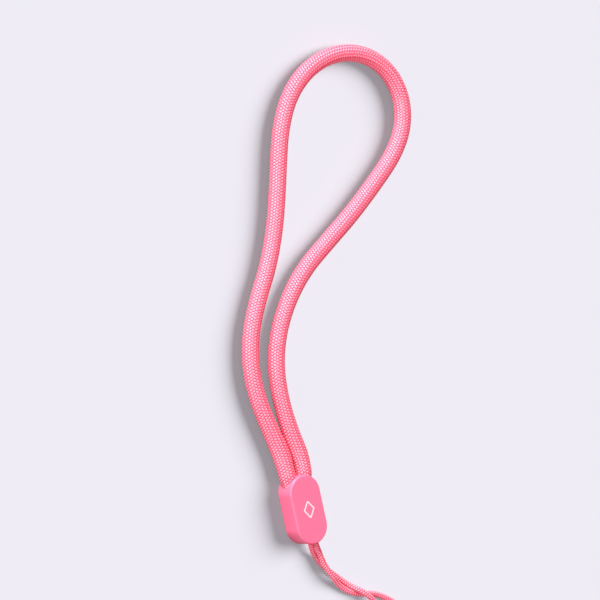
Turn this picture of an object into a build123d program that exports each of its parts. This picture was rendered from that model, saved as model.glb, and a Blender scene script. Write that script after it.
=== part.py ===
from build123d import *
import math
import os

# Braided wrist strap with a moulded stopper.
# Millimetres, +Z up.  The origin is the middle of the stopper's back face, which lies on
# the surface.  +Y runs along the stopper towards the wrist loop, and the thin hitch loop
# leaves the other end.  The front face, with its printed mark, looks up.

# Stopper body
BODY_LENGTH = 24.0
BODY_WIDTH = 12.3
BODY_HEIGHT = 7.5
RIM_RADIUS = 0.6
BACK_EDGE_RADIUS = 0.3

# Hollow inside the stopper, closed by an inset back plate
CAVITY_LENGTH = 19.2
CAVITY_WIDTH = 10.4
CAVITY_TOP = 6.4
PLATE_LENGTH = 22.8
PLATE_WIDTH = 11.1
PLATE_THICKNESS = 1.0
PLATE_GAP = 0.05
PLATE_EDGE_RADIUS = 0.2

# Two pins on the plate sit in two bosses of the body
BOSS_X = 4.1
BOSS_Y = -1.9
BOSS_RADIUS = 1.2
PIN_RADIUS = 0.6
PIN_LENGTH = 3.0
PIN_GAP = 0.05

# Wrist cord: a braided sheath round a core, squeezed where it enters the stopper
CORD_RADIUS = 3.0
SHEATH_THICKNESS = 0.9
CORE_GAP = 0.05
CORD_LEVEL = 3.7
END_X = 2.9
END_WIDTH = 5.2
END_HEIGHT = 4.8
SOCKET_GAP = 0.05
SOCKET_START = 5.0

# Metal band crimped round both ends, which are squeezed further inside it
CRIMPED_X = 2.7
CRIMPED_WIDTH = 4.1
CRIMPED_HEIGHT = 4.5
CRIMPED_TAPER = 1.2
CRIMP_WIDTH = 10.2
CRIMP_HEIGHT = 5.2
CRIMP_WALL = 0.3
CRIMP_START = -0.6
CRIMP_LENGTH = 5.0

# Thin hitch cord, knotted inside the body, and the slot that it leaves by
HITCH_RADIUS = 0.9
SLOT_WIDTH = 6.4
SLOT_HEIGHT = 2.4
SLOT_LEVEL = 3.5
KNOT_RADIUS = 2.5
KNOT_CENTRE = (1.2, -5.6, 3.7)

# Printed lozenge on the front face
MARK_LENGTH = 6.6
MARK_WIDTH = 4.6
MARK_STROKE = 0.5
MARK_CORNER = 0.4
MARK_THICKNESS = 0.04

# Share of the shorter run that each rounded corner of a cord takes up
CORNER_SHARE = 0.45

# Centre line of the wrist cord, from the left socket round the loop to the right socket
WRIST_POINTS = [
    (-3.1, 7.0, 3.7), (-3.2, 13.5, 3.5), (-3.5, 20.5, 3.05), (-5.9, 30.0, 3.05),
    (-8.2, 40.5, 3.05), (-8.3, 52.0, 3.05), (-5.4, 63.0, 3.05), (0.2, 73.2, 3.05),
    (7.2, 83.0, 3.05), (12.8, 94.0, 3.05), (17.0, 105.5, 3.05), (20.4, 116.5, 3.05),
    (24.2, 127.5, 3.05), (30.4, 137.4, 3.05), (40.2, 144.4, 3.05), (52.0, 146.8, 3.05),
    (63.4, 144.2, 3.05), (72.2, 136.8, 3.05), (76.0, 126.2, 3.05), (74.2, 115.8, 3.05),
    (67.6, 107.2, 3.05), (57.4, 99.8, 3.05), (45.2, 91.8, 3.05), (32.4, 84.8, 3.05),
    (21.8, 78.8, 3.05), (13.0, 70.9, 3.05), (6.0, 61.2, 3.05), (1.8, 50.2, 3.05),
    (0.9, 38.5, 3.05), (1.9, 27.0, 3.05), (3.7, 18.0, 3.2), (3.6, 12.5, 3.5),
    (3.1, 7.0, 3.7),
]

# Centre line of the hitch cord: out of the slot, round the open eye and back again.  The
# two strands cross twice, and the upper one is raised over the lower one at each crossing.
HITCH_POINTS = [
    (0.3, -8.0, 3.7), (0.3, -12.6, 3.3), (1.6, -15.8, 1.9), (3.3, -18.8, 0.95),
    (5.2, -21.7, 0.95), (8.0, -24.8, 0.95), (11.2, -28.2, 0.95), (14.2, -31.2, 1.3),
    (17.4, -33.9, 3.0), (20.2, -36.8, 3.0), (22.6, -39.8, 1.6), (23.4, -44.2, 0.95),
    (22.5, -48.4, 0.95), (23.0, -52.8, 0.95), (26.6, -57.2, 0.95), (32.3, -57.5, 0.95),
    (36.3, -53.5, 0.95), (36.0, -47.8, 0.95), (32.8, -43.6, 0.95), (29.2, -40.4, 0.95),
    (26.0, -37.9, 0.95), (22.4, -36.0, 0.95), (18.4, -35.2, 0.95), (14.7, -33.7, 0.95),
    (11.7, -31.7, 0.95), (9.0, -28.9, 1.5), (6.7, -25.6, 3.0), (4.7, -21.8, 3.0),
    (3.7, -18.4, 3.1), (2.95, -15.2, 3.4), (2.25, -12.2, 3.6), (2.2, -8.0, 3.7),
]


def corner_radii(points):
    """One radius for each corner of a route, as large as its two runs allow."""
    vectors = [Vector(*point) for point in points]
    radii = []
    for before, corner, after in zip(vectors, vectors[1:], vectors[2:]):
        run_in = corner - before
        run_out = after - corner
        half_turn = math.radians(run_in.get_angle(run_out)) / 2
        shorter_run = min(run_in.length, run_out.length)
        radii.append(CORNER_SHARE * shorter_run / math.tan(half_turn))
    return radii


def report_cord(name, part, path, radii, section):
    """Print a cord's corner radii and compare its volume with section times length."""
    length = path.wire().length
    print(name, "radii", ", ".join(f"{radius:.1f}" for radius in radii))
    print(name, f"length {length:.1f}, smallest radius {min(radii):.1f}")
    print(name, f"volume {part.volume:.1f}, section times length {section * length:.1f}")


os.makedirs("parts", exist_ok=True)

# Outline of the stopper, used to cut the cords off at its surface
with BuildPart() as envelope:
    with BuildSketch(Plane.XY):
        SlotOverall(BODY_LENGTH, BODY_WIDTH, rotation=90)
    extrude(amount=BODY_HEIGHT)

# Stopper body: front face and side wall in one moulding
with BuildPart() as body:
    with BuildSketch(Plane.XY):
        SlotOverall(BODY_LENGTH, BODY_WIDTH, rotation=90)
    extrude(amount=BODY_HEIGHT)
    fillet(body.faces().sort_by(Axis.Z)[-1].edges(), RIM_RADIUS)
    fillet(body.faces().sort_by(Axis.Z)[0].edges(), BACK_EDGE_RADIUS)
    with BuildSketch(Plane.XY):
        SlotOverall(CAVITY_LENGTH, CAVITY_WIDTH, rotation=90)
    extrude(amount=CAVITY_TOP, mode=Mode.SUBTRACT)
    with BuildSketch(Plane.XY):
        SlotOverall(PLATE_LENGTH + 2 * PLATE_GAP, PLATE_WIDTH + 2 * PLATE_GAP, rotation=90)
    extrude(amount=PLATE_THICKNESS, mode=Mode.SUBTRACT)
    with BuildSketch(Plane.XZ.offset(-SOCKET_START)):
        with Locations((-END_X, CORD_LEVEL), (END_X, CORD_LEVEL)):
            Ellipse(END_WIDTH / 2 + SOCKET_GAP, END_HEIGHT / 2 + SOCKET_GAP)
    extrude(amount=-BODY_LENGTH / 2, mode=Mode.SUBTRACT)
    with BuildSketch(Plane.XZ.offset(CAVITY_LENGTH / 2 - CAVITY_WIDTH / 4)):
        with Locations((0, SLOT_LEVEL)):
            SlotOverall(SLOT_WIDTH, SLOT_HEIGHT)
    extrude(amount=BODY_LENGTH / 2, mode=Mode.SUBTRACT)
    with BuildSketch(Plane.XY.offset(PLATE_THICKNESS + PLATE_GAP)):
        with Locations((-BOSS_X, BOSS_Y), (BOSS_X, BOSS_Y)):
            Circle(BOSS_RADIUS)
            Circle(PIN_RADIUS + PIN_GAP, mode=Mode.SUBTRACT)
    extrude(amount=CAVITY_TOP - PLATE_THICKNESS - PLATE_GAP)
body.part.label = "stopper_body"
export_step(body.part, "parts/stopper_body.step")

# Back plate with its two locating pins
with BuildPart() as plate:
    with BuildSketch(Plane.XY):
        SlotOverall(PLATE_LENGTH, PLATE_WIDTH, rotation=90)
    extrude(amount=PLATE_THICKNESS)
    chamfer(plate.faces().sort_by(Axis.Z)[0].edges(), PLATE_EDGE_RADIUS)
    with BuildSketch(Plane.XY.offset(PLATE_THICKNESS)):
        with Locations((-BOSS_X, BOSS_Y), (BOSS_X, BOSS_Y)):
            Circle(PIN_RADIUS)
    extrude(amount=PIN_LENGTH)
plate.part.label = "back_plate"
export_step(plate.part, "parts/back_plate.step")

# Crimp band round both squeezed cord ends
with BuildPart() as crimp:
    with BuildSketch(Plane.XZ.offset(-CRIMP_START)):
        with Locations((0, CORD_LEVEL)):
            SlotOverall(CRIMP_WIDTH, CRIMP_HEIGHT)
            SlotOverall(
                CRIMP_WIDTH - 2 * CRIMP_WALL, CRIMP_HEIGHT - 2 * CRIMP_WALL, mode=Mode.SUBTRACT
            )
    extrude(amount=-CRIMP_LENGTH)
crimp.part.label = "cord_crimp"
export_step(crimp.part, "parts/cord_crimp.step")

# Squeezed ends of the wrist cord, from the crimp out to the stopper's surface
for side, name in ((-1, "wrist_cord_end_left"), (1, "wrist_cord_end_right")):
    with BuildPart() as cord_end:
        with BuildSketch(Plane.XZ.offset(-CRIMP_START)):
            with Locations((side * CRIMPED_X, CORD_LEVEL)):
                Ellipse(CRIMPED_WIDTH / 2, CRIMPED_HEIGHT / 2)
        extrude(amount=-CRIMP_LENGTH)
        with BuildSketch(Plane.XZ.offset(-CRIMP_START - CRIMP_LENGTH)):
            with Locations((side * CRIMPED_X, CORD_LEVEL)):
                Ellipse(CRIMPED_WIDTH / 2, CRIMPED_HEIGHT / 2)
        with BuildSketch(Plane.XZ.offset(-CRIMP_START - CRIMP_LENGTH - CRIMPED_TAPER)):
            with Locations((side * END_X, CORD_LEVEL)):
                Ellipse(END_WIDTH / 2, END_HEIGHT / 2)
        loft()
        with BuildSketch(Plane.XZ.offset(-CRIMP_START - CRIMP_LENGTH - CRIMPED_TAPER)):
            with Locations((side * END_X, CORD_LEVEL)):
                Ellipse(END_WIDTH / 2, END_HEIGHT / 2)
        extrude(amount=-BODY_LENGTH)
        add(envelope.part, mode=Mode.INTERSECT)
    cord_end.part.label = name
    export_step(cord_end.part, f"parts/{name}.step")

# Free wrist cord: the braided sheath, and the core yarns that fill it
wrist_radii = corner_radii(WRIST_POINTS)
core_radius = CORD_RADIUS - SHEATH_THICKNESS - CORE_GAP
with BuildPart() as sheath:
    with BuildLine() as wrist_path:
        FilletPolyline(*WRIST_POINTS, radius=wrist_radii)
    with BuildSketch(Plane(wrist_path.line @ 0, z_dir=wrist_path.line % 0)):
        Circle(CORD_RADIUS)
        Circle(CORD_RADIUS - SHEATH_THICKNESS, mode=Mode.SUBTRACT)
    sweep()
    sheath_section = math.pi * (CORD_RADIUS**2 - (CORD_RADIUS - SHEATH_THICKNESS) ** 2)
    report_cord("wrist_cord", sheath.part, wrist_path, wrist_radii, sheath_section)
    add(envelope.part, mode=Mode.SUBTRACT)
sheath.part.label = "wrist_cord"
export_step(sheath.part, "parts/wrist_cord.step")

with BuildPart() as core:
    with BuildLine() as core_path:
        FilletPolyline(*WRIST_POINTS, radius=wrist_radii)
    with BuildSketch(Plane(core_path.line @ 0, z_dir=core_path.line % 0)):
        Circle(core_radius)
    sweep()
    add(envelope.part, mode=Mode.SUBTRACT)
core.part.label = "wrist_cord_core"
export_step(core.part, "parts/wrist_cord_core.step")

# Free hitch cord, from the slot round the eye and back
hitch_radii = corner_radii(HITCH_POINTS)
with BuildPart() as hitch:
    with BuildLine() as hitch_path:
        FilletPolyline(*HITCH_POINTS, radius=hitch_radii)
    with BuildSketch(Plane(hitch_path.line @ 0, z_dir=hitch_path.line % 0)):
        Circle(HITCH_RADIUS)
    sweep()
    hitch_section = math.pi * HITCH_RADIUS**2
    report_cord("hitch_cord", hitch.part, hitch_path, hitch_radii, hitch_section)
    add(envelope.part, mode=Mode.SUBTRACT)
hitch.part.label = "hitch_cord"
export_step(hitch.part, "parts/hitch_cord.step")

# Hitch cord inside the body: its two ends and the knot that holds them
with BuildPart() as knot:
    with BuildLine() as inner_path:
        FilletPolyline(*HITCH_POINTS, radius=hitch_radii)
    with BuildSketch(Plane(inner_path.line @ 0, z_dir=inner_path.line % 0)):
        Circle(HITCH_RADIUS)
    sweep()
    add(envelope.part, mode=Mode.INTERSECT)
    with Locations(KNOT_CENTRE):
        Sphere(KNOT_RADIUS)
knot.part.label = "hitch_cord_knot"
export_step(knot.part, "parts/hitch_cord_knot.step")

# Printed mark: a plain open lozenge
with BuildPart() as mark:
    with BuildSketch(Plane.XY.offset(BODY_HEIGHT)) as mark_sketch:
        Polygon(
            (0, MARK_LENGTH / 2), (MARK_WIDTH / 2, 0), (0, -MARK_LENGTH / 2), (-MARK_WIDTH / 2, 0)
        )
        fillet(mark_sketch.vertices(), MARK_CORNER)
        offset(amount=-MARK_STROKE, mode=Mode.SUBTRACT)
    extrude(amount=MARK_THICKNESS)
mark.part.label = "printed_mark"
export_step(mark.part, "parts/printed_mark.step")
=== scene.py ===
import math

import bpy
from mathutils import Matrix, Vector


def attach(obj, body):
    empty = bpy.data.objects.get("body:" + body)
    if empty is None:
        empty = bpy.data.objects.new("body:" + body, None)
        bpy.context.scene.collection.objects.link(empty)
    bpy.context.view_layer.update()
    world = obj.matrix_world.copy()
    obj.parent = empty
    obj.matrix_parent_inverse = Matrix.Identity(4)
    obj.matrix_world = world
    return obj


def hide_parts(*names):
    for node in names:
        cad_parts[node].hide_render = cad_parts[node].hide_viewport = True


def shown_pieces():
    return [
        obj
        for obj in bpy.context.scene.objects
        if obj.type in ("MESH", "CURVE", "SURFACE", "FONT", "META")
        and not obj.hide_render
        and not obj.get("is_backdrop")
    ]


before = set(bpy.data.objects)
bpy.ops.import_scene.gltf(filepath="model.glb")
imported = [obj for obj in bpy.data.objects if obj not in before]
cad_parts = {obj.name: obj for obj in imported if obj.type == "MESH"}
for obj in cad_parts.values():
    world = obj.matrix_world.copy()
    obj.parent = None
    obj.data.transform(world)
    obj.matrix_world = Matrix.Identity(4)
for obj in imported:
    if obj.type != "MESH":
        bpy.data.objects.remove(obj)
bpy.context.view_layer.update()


# ---------------------------------------------------------------- camera
# A long lens looks down on the strap from its left, so that the stopper's
# side wall shows beside its flat front. Distances are in metres.
CAMERA_TILT = math.radians(35.0)
STOPPER_LEAN = math.radians(14.6)
CAMERA_DISTANCE = 2.5
VIEW_WIDTH = 0.204
VIEW_CENTRE = Vector((0.0193, 0.0684, 0.0))

scene = bpy.context.scene
picture_up = Vector((math.sin(STOPPER_LEAN), math.cos(STOPPER_LEAN), 0))
table_right = Vector((math.cos(STOPPER_LEAN), -math.sin(STOPPER_LEAN), 0))
table_normal = Vector((0, 0, 1))
picture_right = table_right * math.cos(CAMERA_TILT) + table_normal * math.sin(CAMERA_TILT)
to_camera = picture_right.cross(picture_up)
camera_data = bpy.data.cameras.new("camera")
camera_data.sensor_width = 36
camera_data.lens = camera_data.sensor_width * CAMERA_DISTANCE / VIEW_WIDTH
camera_data.clip_end = 20
camera = bpy.data.objects.new("camera", camera_data)
scene.collection.objects.link(camera)
camera.matrix_world = Matrix.Translation(VIEW_CENTRE + to_camera * CAMERA_DISTANCE) @ (
    Matrix((picture_right, picture_up, to_camera)).transposed().to_4x4()
)
scene.camera = camera


# ---------------------------------------------------------------- wrist cord
# The thick loop is a soft braided polyester cord, 6 mm round. Eight yarns wind
# each way round a core of lengthwise yarns, and each passes over one and
# under one. The core's deep red is painted shade in the gaps between the yarns.
# Its two ends are squeezed into the stopper's sockets.

# The free length is in metres, and the other sizes are in millimetres.
MM = 0.001
WRIST_POINTS = [
    (-3.1, 7.0, 3.7), (-3.2, 13.5, 3.5), (-3.5, 20.5, 3.05), (-5.9, 30.0, 3.05),
    (-8.2, 40.5, 3.05), (-8.3, 52.0, 3.05), (-5.4, 63.0, 3.05), (0.2, 73.2, 3.05),
    (7.2, 83.0, 3.05), (12.8, 94.0, 3.05), (17.0, 105.5, 3.05), (20.4, 116.5, 3.05),
    (24.2, 127.5, 3.05), (30.4, 137.4, 3.05), (40.2, 144.4, 3.05), (52.0, 146.8, 3.05),
    (63.4, 144.2, 3.05), (72.2, 136.8, 3.05), (76.0, 126.2, 3.05), (74.2, 115.8, 3.05),
    (67.6, 107.2, 3.05), (57.4, 99.8, 3.05), (45.2, 91.8, 3.05), (32.4, 84.8, 3.05),
    (21.8, 78.8, 3.05), (13.0, 70.9, 3.05), (6.0, 61.2, 3.05), (1.8, 50.2, 3.05),
    (0.9, 38.5, 3.05), (1.9, 27.0, 3.05), (3.7, 18.0, 3.2), (3.6, 12.5, 3.5),
    (3.1, 7.0, 3.7),
]
WRIST_YARNS = 8
WRIST_ROW = 1.03
WRIST_RADIUS = 3.0
YARNS_IN_A_PIECE = 4


class Nodes:
    """Short calls for adding and joining the nodes of one tree."""

    def __init__(self, tree):
        self.tree = tree

    def add(self, kind, inputs=None, **settings):
        node = self.tree.nodes.new(kind)
        for key, value in settings.items():
            setattr(node, key, value)
        for key, value in (inputs or {}).items():
            self.feed(node.inputs[key], value)
        return node

    def feed(self, socket, value):
        if isinstance(value, bpy.types.NodeSocket):
            self.tree.links.new(value, socket)
        else:
            socket.default_value = value

    def math(self, operation, *values):
        node = self.add("ShaderNodeMath", operation=operation)
        for socket, value in zip(node.inputs, values):
            self.feed(socket, value)
        return node.outputs[0]

    def vector(self, operation, *values):
        node = self.add("ShaderNodeVectorMath", operation=operation)
        for socket, value in zip(node.inputs, values):
            self.feed(socket, value)
        return node.outputs["Vector"]

    def scaled(self, vector, factor):
        node = self.add("ShaderNodeVectorMath", {"Scale": factor}, operation="SCALE")
        self.feed(node.inputs[0], vector)
        return node.outputs["Vector"]

    def between(self, low, high, share):
        """low where share is 0 and high where it is 1."""
        return self.math("MULTIPLY_ADD", share, self.math("SUBTRACT", high, low), low)


def new_tree(name, inputs, output):
    """A Geometry Nodes tree, the calls that add its nodes, and its named inputs."""
    tree = bpy.data.node_groups.new(name, "GeometryNodeTree")
    for label, kind in inputs.items():
        tree.interface.new_socket(label, in_out="INPUT", socket_type="NodeSocket" + kind)
    tree.interface.new_socket(output, in_out="OUTPUT", socket_type="NodeSocketGeometry")
    n = Nodes(tree)
    return tree, n, n.add("NodeGroupInput").outputs


def end_tree(n, shape, material, output):
    """Every tree ends the same way: real geometry, with its material."""
    real = n.add("GeometryNodeRealizeInstances", {"Geometry": shape}).outputs[0]
    coloured = n.add("GeometryNodeSetMaterial", {"Geometry": real, "Material": material})
    n.add("NodeGroupOutput", {output: coloured.outputs[0]})


def made_by(tree, line, name, values):
    """Runs a Geometry Nodes tree on a line and keeps the result as a plain mesh piece."""
    sockets = {
        item.name: item.identifier
        for item in tree.interface.items_tree if item.in_out == "INPUT"
    }
    holder = bpy.data.objects.new(name + "_holder", line)
    scene.collection.objects.link(holder)
    modifier = holder.modifiers.new("nodes", "NODES")
    modifier.node_group = tree
    for label, value in values.items():
        modifier[sockets[label]] = value
    evaluated = holder.evaluated_get(bpy.context.evaluated_depsgraph_get())
    mesh = bpy.data.meshes.new_from_object(evaluated)
    mesh.name = name
    bpy.data.objects.remove(holder)
    mesh.shade_smooth()
    piece = bpy.data.objects.new(name, mesh)
    scene.collection.objects.link(piece)
    return piece


def smooth_route(name, points):
    """A NURBS spline with the route's points, in millimetres, as its control points."""
    curve = bpy.data.curves.new(name, "CURVE")
    curve.dimensions = "3D"
    curve.resolution_u = 16
    spline = curve.splines.new("NURBS")
    spline.points.add(len(points) - 1)
    for control, point in zip(spline.points, points):
        control.co = (*(Vector(point) * MM), 1)
    spline.use_endpoint_u = True
    spline.order_u = 3
    return bpy.data.meshes.new_from_object(bpy.data.objects.new(name, curve))


def followed_line(n, given):
    """The centre line in even steps, and for each point its distance along the line, how
    free it is of the sockets' squeeze, and its distance to the nearer end."""
    curve = n.add("GeometryNodeMeshToCurve", {"Mesh": given["Centre line"]}).outputs["Curve"]
    whole = n.add("GeometryNodeCurveLength", {"Curve": curve}).outputs["Length"]
    trimmed = n.add("GeometryNodeTrimCurve", {"Curve": curve}, mode="LENGTH")
    # The last two of its sockets hold the cuts as lengths, not as shares.
    first_cut, last_cut = trimmed.inputs[4:6]
    n.feed(first_cut, given["Hidden end"])
    n.feed(last_cut, n.math("SUBTRACT", whole, given["Hidden end"]))
    even = n.add("GeometryNodeResampleCurve", {"Curve": trimmed.outputs["Curve"]}, mode="LENGTH")
    n.feed(even.inputs["Length"], given["Step"])
    upright = n.add("GeometryNodeSetCurveNormal", {"Curve": even.outputs["Curve"]}, mode="Z_UP")
    along = n.add("GeometryNodeSplineParameter").outputs["Length"]
    shown = n.add("GeometryNodeSplineLength").outputs["Length"]
    to_end = n.math("MINIMUM", along, n.math("SUBTRACT", shown, along))
    ease = n.add("ShaderNodeMapRange", {"Value": to_end}, interpolation_type="SMOOTHSTEP")
    n.feed(ease.inputs["From Min"], given["Squeeze start"])
    n.feed(ease.inputs["From Max"], given["Squeeze end"])
    return upright.outputs["Curve"], along, ease.outputs["Result"], to_end


def braid_tree():
    """Yarns that wind round a centre line, each over one and under one of the other hand."""
    tree, n, given = new_tree("braided_yarns", {
        "Centre line": "Geometry", "Hidden end": "Float", "Step": "Float", "Radius": "Float",
        "Splay": "Float", "Splay start": "Float", "Splay full": "Float", "Splay end": "Float",
        "Yarns each way": "Int", "First yarn": "Int", "Yarns made": "Int", "Hand": "Float",
        "Row": "Float", "Yarn width": "Float", "Yarn thickness": "Float", "Interlace": "Float",
        "Section points": "Int", "Squeeze start": "Float", "Squeeze end": "Float",
        "Squeezed width": "Float", "Squeezed height": "Float", "Squeeze shift": "Float",
        "Material": "Material",
    }, "Yarns")
    curve, along, free, to_end = followed_line(n, given)
    # Past its socket the cord spreads a little before it is round again.
    spread = given["Splay"]
    for edge in ("Splay start", "Splay end"):
        ramp = n.add("ShaderNodeMapRange", {"Value": to_end}, interpolation_type="SMOOTHSTEP")
        n.feed(ramp.inputs["From Min"], given[edge])
        n.feed(ramp.inputs["From Max"], given["Splay full"])
        spread = n.math("MULTIPLY", spread, ramp.outputs["Result"])
    centre = n.add("GeometryNodeInputPosition").outputs[0]
    tangent = n.add("GeometryNodeInputTangent").outputs[0]
    normal = n.add("GeometryNodeInputNormal").outputs[0]
    keep = n.add("GeometryNodeCaptureAttribute", {"Geometry": curve})
    for kind, label, source in (
        ("FLOAT", "along", along), ("FLOAT", "free", free), ("FLOAT", "spread", spread),
        ("VECTOR", "centre", centre),
        ("VECTOR", "tangent", tangent), ("VECTOR", "normal", normal),
    ):
        keep.capture_items.new(kind, label)
        n.feed(keep.inputs[label], source)
    held = keep.outputs
    # Each yarn starts as a copy of the centre line, and is turned round it by its number.
    amount = {"Geometry": held["Geometry"], "Amount": given["Yarns made"]}
    copies = n.add("GeometryNodeDuplicateElements", amount, domain="SPLINE")
    index = n.math("ADD", copies.outputs["Duplicate Index"], given["First yarn"])
    rows = n.math("DIVIDE", held["along"], given["Row"])
    turns = n.math("DIVIDE", n.math("SUBTRACT", rows, index), given["Yarns each way"])
    angle = n.math("MULTIPLY", n.math("MULTIPLY", turns, math.tau), given["Hand"])
    # In each row it rises over one yarn of the other hand and dives under the next.
    rise = n.math("MULTIPLY", n.math("COSINE", n.math("MULTIPLY", rows, math.tau)), given["Hand"])
    middle = n.math("SUBTRACT", given["Radius"], given["Interlace"])
    middle = n.math("SUBTRACT", middle, n.math("MULTIPLY", given["Yarn thickness"], 0.5))
    radius = n.math("MULTIPLY_ADD", rise, given["Interlace"], middle)
    # In its socket the cord is squeezed to an oval, a little to one side.
    wide = n.between(given["Squeezed width"], n.math("ADD", held["spread"], 1), held["free"])
    high = n.between(given["Squeezed height"], 1, held["free"])
    shift = n.between(given["Squeeze shift"], 0, held["free"])
    across = n.math("MULTIPLY", n.math("COSINE", angle), wide)
    upward = n.math("MULTIPLY", n.math("SINE", angle), high)
    binormal = n.vector("CROSS_PRODUCT", held["tangent"], held["normal"])
    outward = n.vector("ADD", n.scaled(held["normal"], across), n.scaled(binormal, upward))
    place = n.vector("ADD", held["centre"], n.scaled(outward, radius))
    place = n.vector("ADD", place, n.scaled(held["normal"], shift))
    moved = n.add("GeometryNodeSetPosition", {"Position": place})
    n.feed(moved.inputs["Geometry"], copies.outputs["Geometry"])
    # The yarn's flat side faces outwards all the way round.
    turned = n.add("GeometryNodeSetCurveNormal", {"Curve": moved.outputs["Geometry"]}, mode="FREE")
    n.feed(turned.inputs["Normal"], outward)
    rail = n.add("GeometryNodeCaptureAttribute", {"Geometry": turned.outputs["Curve"]})
    run = n.add("GeometryNodeSplineParameter").outputs["Length"]
    for label, source in (("crown", rise), ("run", run)):
        rail.capture_items.new("FLOAT", label)
        n.feed(rail.inputs[label], source)
    circle = n.add("GeometryNodeCurvePrimitiveCircle", {
        "Resolution": given["Section points"], "Radius": 0.5,
    })
    size = n.add("ShaderNodeCombineXYZ", {
        "X": given["Yarn thickness"], "Y": given["Yarn width"], "Z": 1.0,
    })
    oval = n.add("GeometryNodeTransform", {
        "Geometry": circle.outputs["Curve"], "Scale": size.outputs[0],
    })
    section = n.add("GeometryNodeCaptureAttribute", {"Geometry": oval.outputs["Geometry"]})
    section.capture_items.new("VECTOR", "section")
    n.feed(section.inputs["section"], n.add("GeometryNodeInputPosition").outputs[0])
    tube = n.add("GeometryNodeCurveToMesh", {
        "Curve": rail.outputs["Geometry"], "Profile Curve": section.outputs["Geometry"],
        "Fill Caps": True,
    })
    # The fibres' colours, with their painted shade and painted highlight, need to know where a
    # point lies on its yarn.
    side = n.add("ShaderNodeSeparateXYZ", {"Vector": section.outputs["section"]}).outputs
    shape = tube.outputs["Mesh"]
    for label, source in (
        ("crown", rail.outputs["crown"]), ("run", rail.outputs["run"]),
        ("across", n.math("DIVIDE", side["Y"], given["Yarn width"])),
        ("outer", n.math("DIVIDE", side["X"], given["Yarn thickness"])),
    ):
        named = {"Geometry": shape, "Name": label, "Value": source}
        shape = n.add("GeometryNodeStoreNamedAttribute", named).outputs["Geometry"]
    end_tree(n, shape, given["Material"], "Yarns")
    return tree


def core_tree():
    """A bundle of lengthwise yarns that fills the braid."""
    tree, n, given = new_tree("core_bundle", {
        "Centre line": "Geometry", "Hidden end": "Float", "Step": "Float", "Radius": "Float",
        "Core yarns": "Int", "Groove": "Float", "Squeeze start": "Float", "Squeeze end": "Float",
        "Squeezed size": "Float", "Material": "Material",
    }, "Core")
    curve, _, free, _ = followed_line(n, given)
    size = n.between(given["Squeezed size"], 1, free)
    sized = n.add("GeometryNodeSetCurveRadius", {"Curve": curve, "Radius": size})
    points = n.math("MULTIPLY", given["Core yarns"], 4)
    circle = n.add("GeometryNodeCurvePrimitiveCircle", {
        "Resolution": points, "Radius": given["Radius"],
    })
    turn = n.math("MULTIPLY", n.add("GeometryNodeSplineParameter").outputs["Factor"], math.tau)
    lobe = n.math("COSINE", n.math("MULTIPLY", turn, given["Core yarns"]))
    reach = n.math("MULTIPLY_ADD", lobe, given["Groove"], 1)
    place = n.scaled(n.add("GeometryNodeInputPosition").outputs[0], reach)
    section = n.add("GeometryNodeSetPosition", {
        "Geometry": circle.outputs["Curve"], "Position": place,
    })
    # The squeeze counts twice, as the line's radius and as the section's scale.
    tube = n.add("GeometryNodeCurveToMesh", {
        "Curve": sized.outputs["Curve"], "Profile Curve": section.outputs["Geometry"],
        "Scale": size, "Fill Caps": True,
    })
    end_tree(n, tube.outputs["Mesh"], given["Material"], "Core")
    return tree


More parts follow.
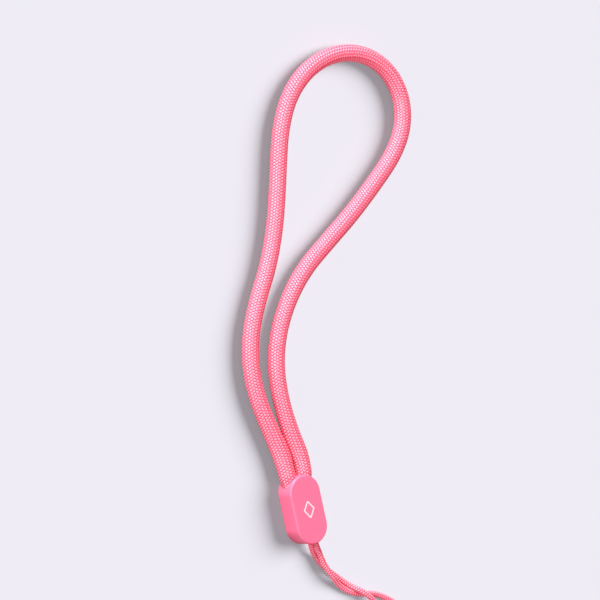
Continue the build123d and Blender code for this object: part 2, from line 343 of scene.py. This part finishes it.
def painted_light_fibre_group():
    """Colour, roughness and height of a yarn's fibres, from where a point lies on its yarn, with
    painted shade where it dives under and a painted highlight on its crowns.
    """
    group = bpy.data.node_groups.new("yarn_fibres_and_painted_light", "ShaderNodeTree")
    for label, kind in (
        ("Painted shade colour", "Color"), ("Yarn colour", "Color"), ("Painted highlight colour", "Color"),
        ("Fibres across", "Float"), ("Fibre length", "Float"),
    ):
        group.interface.new_socket(label, in_out="INPUT", socket_type="NodeSocket" + kind)
    for label, kind in (("Colour", "Color"), ("Roughness", "Float"), ("Height", "Float")):
        group.interface.new_socket(label, in_out="OUTPUT", socket_type="NodeSocket" + kind)
    n = Nodes(group)
    given = n.add("NodeGroupInput").outputs
    crown = n.add("ShaderNodeAttribute", attribute_name="crown").outputs["Fac"]
    run = n.add("ShaderNodeAttribute", attribute_name="run").outputs["Fac"]
    across = n.add("ShaderNodeAttribute", attribute_name="across").outputs["Fac"]
    outer = n.add("ShaderNodeAttribute", attribute_name="outer").outputs["Fac"]
    # Fibres lie along the yarn, so their noise is fine across it and long along it.
    fibre_place = n.add("ShaderNodeCombineXYZ", {
        "X": n.math("MULTIPLY", across, given["Fibres across"]),
        "Y": n.math("DIVIDE", run, given["Fibre length"]),
        "Z": n.math("MULTIPLY", outer, given["Fibres across"]),
    })
    fibres = n.add("ShaderNodeTexNoise", {
        "Vector": fibre_place.outputs[0], "Scale": 1.0, "Detail": 2.0,
    })
    strand = fibres.outputs["Fac"]
    # Painted shade: the colour darkens from the crowns on the outside of the cord to the flanks
    # that dive under, with the fibres' own noise mixed in.
    height = n.math("MULTIPLY_ADD", outer, 0.9, n.math("MULTIPLY", crown, 0.5))
    painted_shade_level = n.add("ShaderNodeMapRange", {"Value": height, "From Min": -0.35, "From Max": 0.75})
    painted_shade_level.interpolation_type = "SMOOTHSTEP"
    lit = n.math("MULTIPLY_ADD", n.math("SUBTRACT", strand, 0.5), 0.5, painted_shade_level.outputs["Result"])
    base = n.add("ShaderNodeMix", {"Factor": lit}, data_type="RGBA")
    n.feed(base.inputs["A"], given["Painted shade colour"])
    n.feed(base.inputs["B"], given["Yarn colour"])
    # Painted highlight: only the tops of the crowns carry a pale fleck, in place of the fibres'
    # glint.
    painted_highlight_peak = n.add("ShaderNodeMapRange", {"Value": height, "From Min": 0.64, "From Max": 0.92})
    painted_highlight_peak.interpolation_type = "SMOOTHSTEP"
    painted_highlight_fleck = n.math("MULTIPLY", painted_highlight_peak.outputs["Result"], n.math("MULTIPLY_ADD", strand, 0.8, 0.3))
    with_painted_highlight = n.add("ShaderNodeMix", {"Factor": painted_highlight_fleck}, data_type="RGBA")
    n.feed(with_painted_highlight.inputs["A"], base.outputs["Result"])
    n.feed(with_painted_highlight.inputs["B"], given["Painted highlight colour"])
    # The fibres that stand up are the glossier ones.
    rough = n.math("MULTIPLY_ADD", strand, -0.2, 0.42)
    n.add("NodeGroupOutput", {
        "Colour": with_painted_highlight.outputs["Result"], "Roughness": rough, "Height": strand,
    })
    return group


def yarn_material(name, group, values):
    """A shiny polyester yarn, whose fibres, painted shade and painted highlight come from the
    shared group.
    """
    material = bpy.data.materials.new(name)
    material.use_nodes = True
    shader = material.node_tree.nodes["Principled BSDF"]
    n = Nodes(material.node_tree)
    fibres = n.add("ShaderNodeGroup")
    fibres.node_tree = group
    for label, value in values.items():
        n.feed(fibres.inputs[label], value)
    bump = n.add("ShaderNodeBump", {"Height": fibres.outputs["Height"], "Strength": 0.5})
    bump.inputs["Distance"].default_value = 0.04 * MM
    n.feed(shader.inputs["Base Color"], fibres.outputs["Colour"])
    n.feed(shader.inputs["Roughness"], fibres.outputs["Roughness"])
    n.feed(shader.inputs["Normal"], bump.outputs["Normal"])
    shader.inputs["Specular IOR Level"].default_value = 0.8
    return material


def mottled_material(name, noise, dark, pale):
    """A material that drifts between two close tones, with its shader, its node calls and
    the noise that they follow."""
    material = bpy.data.materials.new(name)
    material.use_nodes = True
    shader = material.node_tree.nodes["Principled BSDF"]
    n = Nodes(material.node_tree)
    place = n.add("ShaderNodeTexCoord").outputs["Object"]
    mottle = n.add("ShaderNodeTexNoise", {"Vector": place, **noise}).outputs["Fac"]
    tint = n.add("ShaderNodeValToRGB", {"Fac": mottle})
    for end, tone in zip(tint.color_ramp.elements, (dark, pale)):
        end.color = tone
    n.feed(shader.inputs["Base Color"], tint.outputs["Color"])
    return material, shader, n, mottle


fibres_with_painted_light = painted_light_fibre_group()
# Its deep colour is painted shade where the yarns dive under, and its pale crown colour a painted
# highlight.
wrist_yarn = yarn_material("wrist_yarn", fibres_with_painted_light, {
    "Painted shade colour": (0.97, 0.045, 0.115, 1), "Yarn colour": (0.98, 0.155, 0.27, 1),
    "Painted highlight colour": (0.94, 0.43, 0.45, 1), "Fibres across": 14.0, "Fibre length": 1.2 * MM,
})
# The core's deep red is painted shade in the gaps between the yarns and in the sockets' mouths.
core_yarn, core_shader, *_ = mottled_material(
    "core_yarn", {"Scale": 900.0, "Detail": 3.0}, (0.90, 0.02, 0.06, 1), (0.95, 0.04, 0.10, 1),
)
core_shader.inputs["Roughness"].default_value = 0.8

wrist_line = smooth_route("wrist_route", WRIST_POINTS)
wrist_squeeze = {"Hidden end": 0.6 * MM, "Squeeze start": 1.2 * MM, "Squeeze end": 5.4 * MM}
wrist_core = made_by(core_tree(), wrist_line.copy(), "wrist_core", {
    "Step": 0.8 * MM, "Radius": 2.52 * MM, "Core yarns": 12, "Groove": 0.03,
    "Squeezed size": 0.8, "Material": core_yarn, **wrist_squeeze,
})
braid = braid_tree()
wrist_yarns = []
for hand_name, hand in (("right", 1.0), ("left", -1.0)):
    for first in range(0, WRIST_YARNS, YARNS_IN_A_PIECE):
        piece = made_by(braid, wrist_line.copy(), f"wrist_yarns_{hand_name}_{first}", {
            "Step": WRIST_ROW / 10 * MM, "Radius": WRIST_RADIUS * MM, "Yarns each way": WRIST_YARNS,
            "First yarn": first, "Yarns made": YARNS_IN_A_PIECE, "Hand": hand,
            "Row": WRIST_ROW * MM, "Yarn width": 1.0 * MM, "Yarn thickness": 0.46 * MM,
            "Interlace": 0.13 * MM, "Section points": 7, "Squeezed width": 0.89,
            "Squeezed height": 0.79, "Squeeze shift": 0.2 * MM, "Material": wrist_yarn,
            "Splay": 0.1, "Splay start": 5 * MM, "Splay full": 12 * MM, "Splay end": 30 * MM,
            **wrist_squeeze,
        })
        wrist_yarns.append(piece)
for piece in (wrist_core, *wrist_yarns):
    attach(piece, "root")
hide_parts("wrist_cord_core")
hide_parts("wrist_cord")


# ---------------------------------------------------------------- hitch cord
# The thin loop is the same kind of braid, 1.8 mm round with three yarns each way,
# and a knot inside the stopper holds both ends. Its strands leave the far end side
# by side and cross twice before the open eye, which goes through the device.

# The free length is in metres, and the other sizes are in millimetres.
HITCH_POINTS = [
    (0.3, -8.0, 3.7), (0.3, -12.6, 3.3), (1.6, -15.8, 1.9), (3.3, -18.8, 0.95),
    (5.2, -21.7, 0.95), (8.0, -24.8, 0.95), (11.2, -28.2, 0.95), (14.2, -31.2, 1.3),
    (17.4, -33.9, 3.0), (20.2, -36.8, 3.0), (22.6, -39.8, 1.6), (23.4, -44.2, 0.95),
    (22.5, -48.4, 0.95), (23.0, -52.8, 0.95), (26.6, -57.2, 0.95), (32.3, -57.5, 0.95),
    (36.3, -53.5, 0.95), (36.0, -47.8, 0.95), (32.8, -43.6, 0.95), (29.2, -40.4, 0.95),
    (26.0, -37.9, 0.95), (22.4, -36.0, 0.95), (18.4, -35.2, 0.95), (14.7, -33.7, 0.95),
    (11.7, -31.7, 0.95), (9.0, -28.9, 1.5), (6.7, -25.6, 3.0), (4.7, -21.8, 3.0),
    (3.7, -18.4, 3.1), (2.95, -15.2, 3.4), (2.25, -12.2, 3.6), (2.2, -8.0, 3.7),
]
HITCH_YARNS = 3
HITCH_ROW = 0.92
HITCH_RADIUS = 0.9
# So few yarns stand out past the cord's nominal size.
HITCH_SWELL = 1.14

# The thin cord's deep colour is painted shade in its dives, and its paler crown colour a painted
# highlight.
hitch_yarn = yarn_material("hitch_yarn", fibres_with_painted_light, {
    "Painted shade colour": (0.97, 0.03, 0.09, 1), "Yarn colour": (0.98, 0.19, 0.31, 1),
    "Painted highlight colour": (0.98, 0.66, 0.68, 1), "Fibres across": 9.0, "Fibre length": 0.8 * MM,
})
hitch_line = smooth_route("hitch_route", HITCH_POINTS)
hitch_ends = {"Hidden end": 0.6 * MM, "Squeeze start": 0.0, "Squeeze end": 0.1 * MM}
hitch_core = made_by(core_tree(), hitch_line.copy(), "hitch_core", {
    "Step": 0.4 * MM, "Radius": 0.76 * MM, "Core yarns": 6, "Groove": 0.04,
    "Squeezed size": 1.0, "Material": core_yarn, **hitch_ends,
})
hitch_yarns = []
# The stopper's far end neither squeezes nor splays the thin cord.
for hand_name, hand in (("right", 1.0), ("left", -1.0)):
    hitch_yarns.append(made_by(braid, hitch_line.copy(), f"hitch_yarns_{hand_name}", {
        "Step": HITCH_ROW / 14 * MM, "Radius": HITCH_RADIUS * HITCH_SWELL * MM,
        "Yarns each way": HITCH_YARNS, "First yarn": 0, "Yarns made": HITCH_YARNS, "Hand": hand,
        "Row": HITCH_ROW * MM, "Yarn width": 0.72 * MM, "Yarn thickness": 0.34 * MM,
        "Interlace": 0.11 * MM, "Section points": 7, "Squeezed width": 1.0,
        "Squeezed height": 1.0, "Squeeze shift": 0.0, "Material": hitch_yarn, "Splay": 0.0,
        "Splay start": 0.0, "Splay full": 1 * MM, "Splay end": 2 * MM, **hitch_ends,
    }))
for piece in (hitch_core, *hitch_yarns):
    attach(piece, "root")
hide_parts("hitch_cord")


# ---------------------------------------------------------------- stopper
# Body and back plate are satin moulded plastic in the cord's own pink. The
# plate is pressed into the body's back on two pins, and closes it over the
# cord ends.


def satin_plastic(name, colour, shade):
    """Moulded plastic with a fine spark-eroded grain and faint flow marks."""
    material = bpy.data.materials.new(name)
    material.use_nodes = True
    shader = material.node_tree.nodes["Principled BSDF"]
    n = Nodes(material.node_tree)
    place = n.add("ShaderNodeTexCoord").outputs["Object"]
    flow = n.add("ShaderNodeTexNoise", {"Vector": place, "Scale": 120.0, "Detail": 2.0})
    grain = n.add("ShaderNodeTexNoise", {"Vector": place, "Scale": 5200.0, "Detail": 2.0})
    tint = n.add("ShaderNodeMix", {"Factor": flow.outputs["Fac"]}, data_type="RGBA")
    n.feed(tint.inputs["A"], shade)
    n.feed(tint.inputs["B"], colour)
    rough = n.math("MULTIPLY_ADD", grain.outputs["Fac"], 0.16, 0.26)
    bump = n.add("ShaderNodeBump", {"Height": grain.outputs["Fac"], "Strength": 0.12})
    bump.inputs["Distance"].default_value = 0.02 * MM
    n.feed(shader.inputs["Base Color"], tint.outputs["Result"])
    n.feed(shader.inputs["Roughness"], rough)
    n.feed(shader.inputs["Normal"], bump.outputs["Normal"])
    return material


def finish_node(name, material):
    """Gives a carried-over CAD node its material."""
    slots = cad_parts[name].data.materials
    slots.clear()
    slots.append(material)


pink_plastic = satin_plastic("pink_plastic", (0.98, 0.19, 0.33, 1), (0.96, 0.17, 0.30, 1))
finish_node("stopper_body", pink_plastic)
finish_node("back_plate", pink_plastic)


# ---------------------------------------------------------------- inside
# A crimped metal band, the thick cord's squeezed ends and the thin cord's knot sit
# inside the body, out of sight. The ends fill their sockets, and show only as a
# deep pink rim round the cord, in the core's deep red, as painted shade in the socket mouths.
band, band_shader, n, brushed = mottled_material(
    "crimp_band", {"Scale": 3000.0, "Detail": 3.0}, (0.55, 0.55, 0.56, 1), (0.72, 0.72, 0.73, 1),
)
n.feed(band_shader.inputs["Roughness"], n.math("MULTIPLY_ADD", brushed, 0.3, 0.2))
band_shader.inputs["Metallic"].default_value = 1.0
finish_node("cord_crimp", band)
for name in ("wrist_cord_end_left", "wrist_cord_end_right", "hitch_cord_knot"):
    finish_node(name, core_yarn)


# ---------------------------------------------------------------- printed mark
# A plain open lozenge on the stopper's front face. It is a thin film of ivory
# ink, pad-printed on the plastic.
ink, ink_shader, *_ = mottled_material(
    "ivory_ink", {"Scale": 2600.0, "Detail": 2.0}, (0.80, 0.66, 0.66, 1), (0.90, 0.78, 0.77, 1),
)
ink_shader.inputs["Roughness"].default_value = 0.45
finish_node("printed_mark", ink)


# ---------------------------------------------------------------- floor and light
# A pale lavender table, which glows a little in view but throws little pink back.
# A broad light throws the strap's shadow on the table alone. The strap has its own
# key light, a light from the left, and a low red fill for its shaded side.
FLOOR_SIZE = 3.0


def sun(name, lit, direction, strength, width, colour):
    """A sun for one collection, width degrees wide. It shines from a direction given
    across the table, up the table and away from it."""
    across, up, lift = direction
    data = bpy.data.lights.new(name, "SUN")
    data.energy = strength
    data.angle = math.radians(width)
    data.color = colour
    light = bpy.data.objects.new(name, data)
    scene.collection.objects.link(light)
    towards = table_right * across + picture_up * up + table_normal * lift
    light.rotation_euler = towards.to_track_quat("Z", "Y").to_euler()
    light.light_linking.receiver_collection = lit


floor_mesh = bpy.data.meshes.new("floor")
half = FLOOR_SIZE / 2
corners = [(-half, -half, 0), (half, -half, 0), (half, half, 0), (-half, half, 0)]
floor_mesh.from_pydata(corners, [], [(0, 1, 2, 3)])
floor = bpy.data.objects.new("floor", floor_mesh)
scene.collection.objects.link(floor)
paper = bpy.data.materials.new("paper")
paper.use_nodes = True
paper_shader = paper.node_tree.nodes["Principled BSDF"]
paper_shader.inputs["Base Color"].default_value = (0.205, 0.199, 0.217, 1)
n = Nodes(paper.node_tree)
in_view = n.add("ShaderNodeLightPath").outputs["Is Camera Ray"]
glow = n.add("ShaderNodeMix", {"Factor": in_view}, data_type="RGBA")
n.feed(glow.inputs["A"], (0, 0, 0, 1))
n.feed(glow.inputs["B"], (0.944, 0.926, 1.0, 1))
n.feed(paper_shader.inputs["Emission Color"], glow.outputs["Result"])
paper_shader.inputs["Emission Strength"].default_value = 0.275
paper_shader.inputs["Roughness"].default_value = 1.0
paper_shader.inputs["Specular IOR Level"].default_value = 0.0
floor_mesh.materials.append(paper)
floor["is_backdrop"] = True

table_only = bpy.data.collections.new("table_only")
table_only.objects.link(floor)
strap_only = bpy.data.collections.new("strap_only")
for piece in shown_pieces():
    strap_only.objects.link(piece)
sun("shadow_light", table_only, (0.93, 0.38, 0.82), 13.4, 42, (1, 1, 1))
sun("key_light", strap_only, (-0.5, 0.84, 0.46), 5.3, 26, (1, 0.98, 0.96))
sun("left_light", strap_only, (-0.94, 0.0, 0.42), 1.7, 40, (1, 0.94, 0.95))
sun("low_fill", strap_only, (0.6, -0.7, 0.5), 1.25, 90, (1, 0.06, 0.13))

world = bpy.data.worlds.new("world")
scene.world = world
world.use_nodes = True
backdrop = world.node_tree.nodes["Background"]
backdrop.inputs["Color"].default_value = (0.93, 0.92, 0.98, 1)
backdrop.inputs["Strength"].default_value = 0.26
scene.view_settings.view_transform = "Standard"
